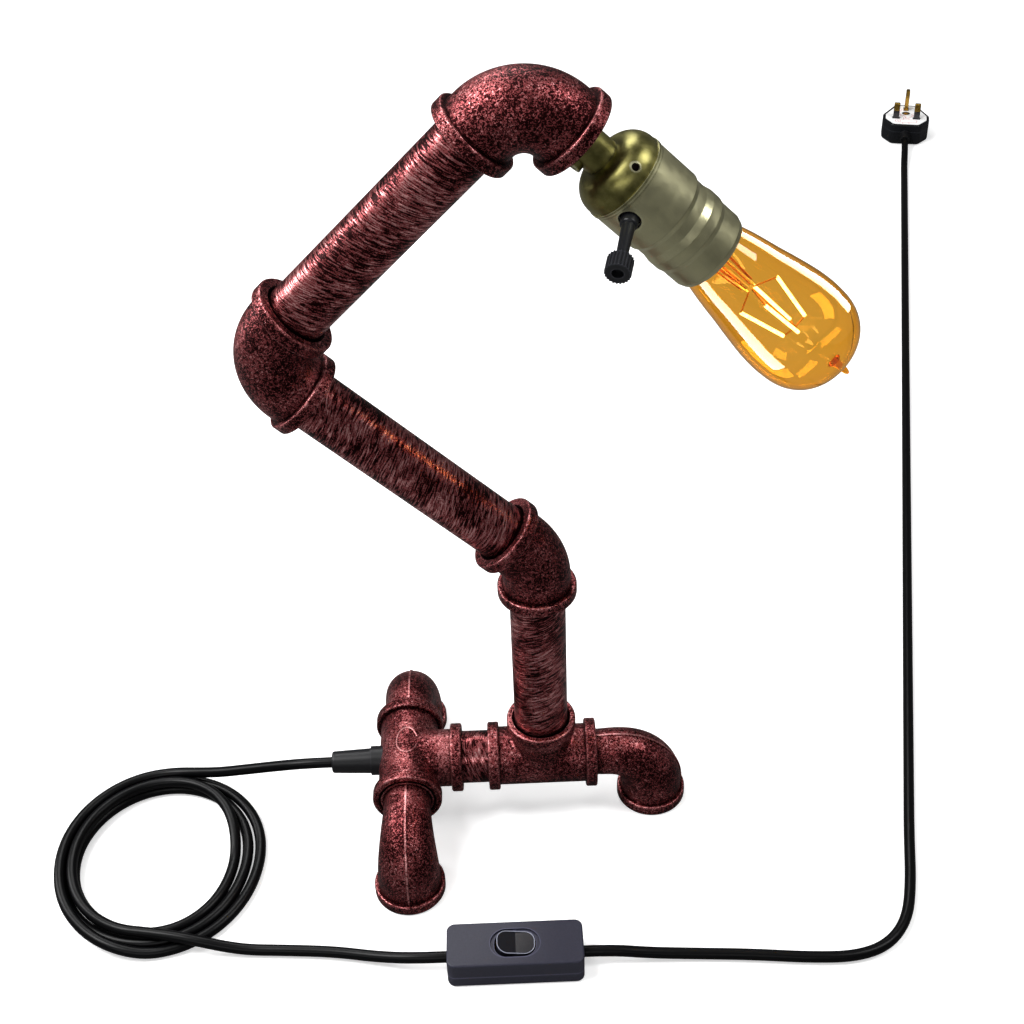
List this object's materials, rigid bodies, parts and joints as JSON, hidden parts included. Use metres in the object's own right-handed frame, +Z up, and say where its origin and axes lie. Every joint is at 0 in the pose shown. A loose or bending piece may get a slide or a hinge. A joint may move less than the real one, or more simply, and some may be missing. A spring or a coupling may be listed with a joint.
{
  "type": "industrial pipe table lamp",
  "caption": "Table lamp made from screwed pipe and cast elbows on three elbow feet, with a key-switch lampholder, an amber bulb, a coiled lead, an in-line rocker switch and a mains plug.",
  "frame": {"origin": "on the table, under the middle of the outline of the lamp itself, without the lead on the table, its coil, switch and plug", "axes": "+Z up, +X towards the bulb, -Y towards the front foot"},
  "size_m": [0.7816, 1.1085, 0.512],
  "materials": {
    "distressed_paint": "antiqued, hand brushed, satin",
    "olive_brass": "patinated, satin",
    "black_key": "moulded, gloss",
    "plated_steel": "zinc plated",
    "switch_block": "moulded phenolic",
    "fibre_liner": "pressed fibre",
    "contact_brass": "pressed",
    "bulb_cap_nickel": "rolled, bright",
    "amber_glass": "blown, amber",
    "clear_glass": "drawn",
    "black_glass": "fused black insulator",
    "filament": "glowing coated sticks",
    "support_wire": "drawn wire",
    "black_flex": "extruded, satin",
    "black_nylon": "moulded, matt",
    "switch_plastic": "moulded, fine texture",
    "rocker_plastic": "moulded, gloss",
    "pin_brass": "machined",
    "plug_plastic": "moulded, gloss",
    "card_paper": "printed card"
  },
  "bodies": {
    "base": {"tee_side": "distressed_paint", "tee_post": "distressed_paint", "close_nipple": "distressed_paint", "leg_elbow_front": "distressed_paint", "leg_elbow_rear": "distressed_paint", "leg_elbow_side": "distressed_paint", "gland": "black_nylon", "gland_nut": "black_nylon", "lead_base": "black_flex", "cord_lead": "black_flex", "cord_coil": "black_flex", "cord_to_switch": "black_flex", "cord_to_plug": "black_flex", "switch_base": "switch_plastic", "switch_cover": "switch_plastic", "switch_terminals": "contact_brass", "switch_contact": "contact_brass", "switch_screws": "plated_steel", "plug_cover": "plug_plastic", "plug_base": "plug_plastic", "plug_screw": "plated_steel", "plug_pins": "pin_brass", "plug_pin_earth": "pin_brass", "plug_card": "card_paper", "plug_grommet": "black_nylon", "plug_fuse": "pin_brass"},
    "post": {"post_pipe": "distressed_paint", "elbow_45": "distressed_paint", "lead_post": "black_flex"},
    "lower_arm": {"lower_arm_pipe": "distressed_paint", "knee_elbow": "distressed_paint", "lead_lower": "black_flex"},
    "upper_arm": {"upper_arm_pipe": "distressed_paint", "top_elbow": "distressed_paint", "reducer_bush": "plated_steel", "head_tube": "plated_steel", "tube_locknut": "plated_steel", "lead_upper": "black_flex"},
    "lampholder": {"socket_cap": "olive_brass", "cap_grub_screw": "plated_steel", "socket_shell": "olive_brass", "socket_liner": "fibre_liner", "socket_body": "switch_block", "socket_terminals": "contact_brass", "socket_screw_shell": "contact_brass", "socket_centre_contact": "contact_brass", "lead_cores": "black_flex"},
    "key": {"key_stem": "black_key", "key_knob": "black_key"},
    "bulb_tip": {"bulb_contact": "contact_brass", "bulb_insulator": "black_glass"},
    "bulb": {"bulb_cap": "bulb_cap_nickel", "bulb_glass": "amber_glass", "bulb_stem": "clear_glass", "bulb_filaments": "filament", "bulb_supports": "support_wire"},
    "rocker": {"switch_rocker": "rocker_plastic"}
  },
  "joints": [
    {"name": "post_swivel", "type": "hinge", "parent": "base", "child": "post", "pos_m": [-0.008, 0, 0.075], "axis": [0, 0, 1], "range_deg": [-90, 90]},
    {"name": "lower_arm_twist", "type": "hinge", "parent": "post", "child": "lower_arm", "pos_m": [-0.02745, 0, 0.22995], "axis": [-0.7071, 0, 0.7071], "range_deg": [-60, 60]},
    {"name": "upper_arm_twist", "type": "hinge", "parent": "lower_arm", "child": "upper_arm", "pos_m": [-0.12785, 0, 0.38296], "axis": [0.7071, 0, 0.7071], "range_deg": [-90, 90]},
    {"name": "holder_swivel", "type": "hinge", "parent": "upper_arm", "child": "lampholder", "pos_m": [0.01774, 0, 0.47595], "axis": [0.7071, 0, -0.7071], "range_deg": [-90, 90]},
    {"name": "key_turn", "type": "hinge", "parent": "lampholder", "child": "key", "pos_m": [0.04119, -0.02364, 0.44099], "axis": [-0.2302, -0.9455, -0.2302], "continuous": true},
    {"name": "bulb_lift", "type": "slide", "parent": "lampholder", "child": "bulb_tip", "axis": [0.7071, 0, -0.7071], "range_m": [0, 0.01087]},
    {"name": "bulb_turn", "type": "hinge", "parent": "bulb_tip", "child": "bulb", "pos_m": [0.06568, 0, 0.42801], "axis": [0.7071, 0, -0.7071], "range_deg": [0, 1080]},
    {"name": "rocker_press", "type": "hinge", "parent": "base", "child": "rocker", "pos_m": [-0.03, -0.131, 0.0168], "axis": [0, 1, 0], "range_deg": [-14, 0]}
  ],
  "couplings": [
    {"joint": "bulb_lift", "follows": "bulb_turn", "m_per_rad": 0.00057614}
  ]
}
